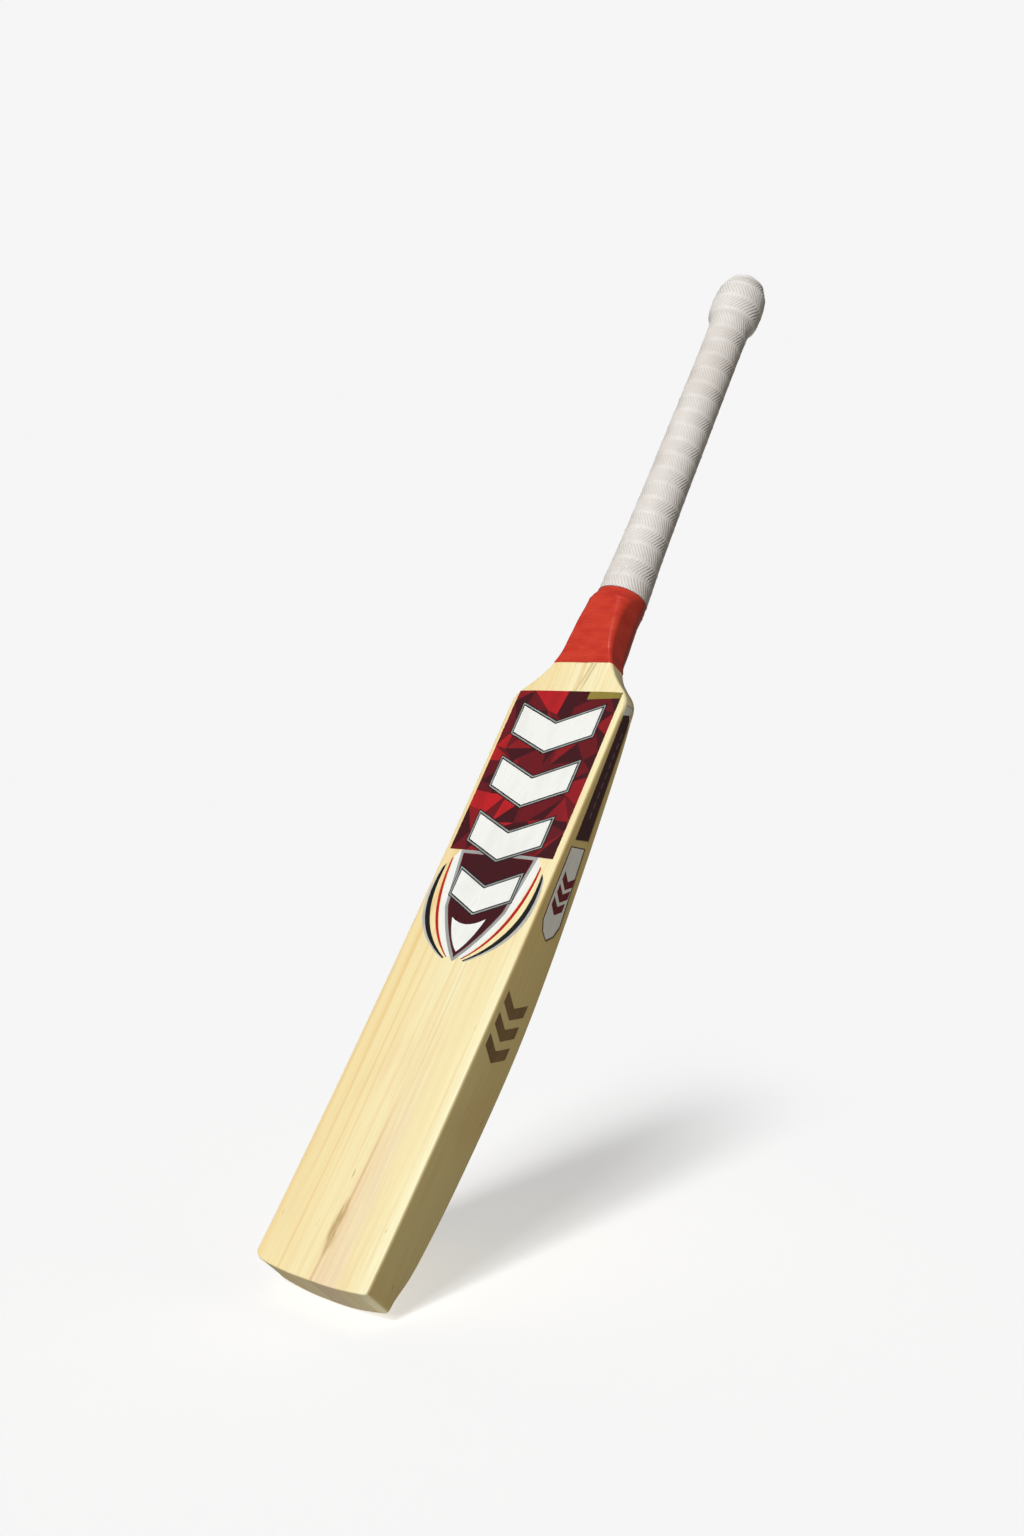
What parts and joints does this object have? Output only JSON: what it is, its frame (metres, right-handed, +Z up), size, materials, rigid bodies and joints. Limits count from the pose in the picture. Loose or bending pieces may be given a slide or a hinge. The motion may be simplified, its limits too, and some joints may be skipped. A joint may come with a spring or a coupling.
{
  "type": "cricket bat",
  "caption": "Full-size cricket bat: flat-faced willow blade with thick edges, a spined back and an arched toe, a cane handle spliced in at the shoulders, and a ribbed rubber grip.",
  "frame": {"origin": "centre of the bat's footprint, at the lowest point of the toe", "axes": "+Z up the handle, -Y out of the playing face, +X across the blade"},
  "size_m": [0.1092, 0.0916, 0.8655],
  "materials": {
    "willow": "polished, clear oiled",
    "cane": "bare",
    "spring_rubber": "matte",
    "twine": "waxed thread",
    "red_wrap": "gloss",
    "collar_rubber": "matte",
    "grip_rubber": "matte, ribbed",
    "face_vinyl": "printed, satin",
    "strip_vinyl": "printed, satin",
    "badge_vinyl": "printed, satin"
  },
  "bodies": {
    "root": {"blade": "willow", "cane_1_1": "cane", "cane_1_2": "cane", "cane_1_3": "cane", "cane_2_1": "cane", "cane_2_2": "cane", "cane_2_3": "cane", "cane_3_1": "cane", "cane_3_2": "cane", "cane_3_3": "cane", "cane_4_1": "cane", "cane_4_2": "cane", "cane_4_3": "cane", "spring_1": "spring_rubber", "spring_2": "spring_rubber", "spring_3": "spring_rubber", "twine_binding": "twine", "red_throat_wrap": "red_wrap", "knob_collar": "collar_rubber", "grip_sleeve": "grip_rubber", "face_label": "face_vinyl", "right_edge_strip": "strip_vinyl", "left_edge_strip": "strip_vinyl", "right_edge_badge": "badge_vinyl", "left_edge_badge": "badge_vinyl", "back_label": "face_vinyl"}
  },
  "joints": []
}
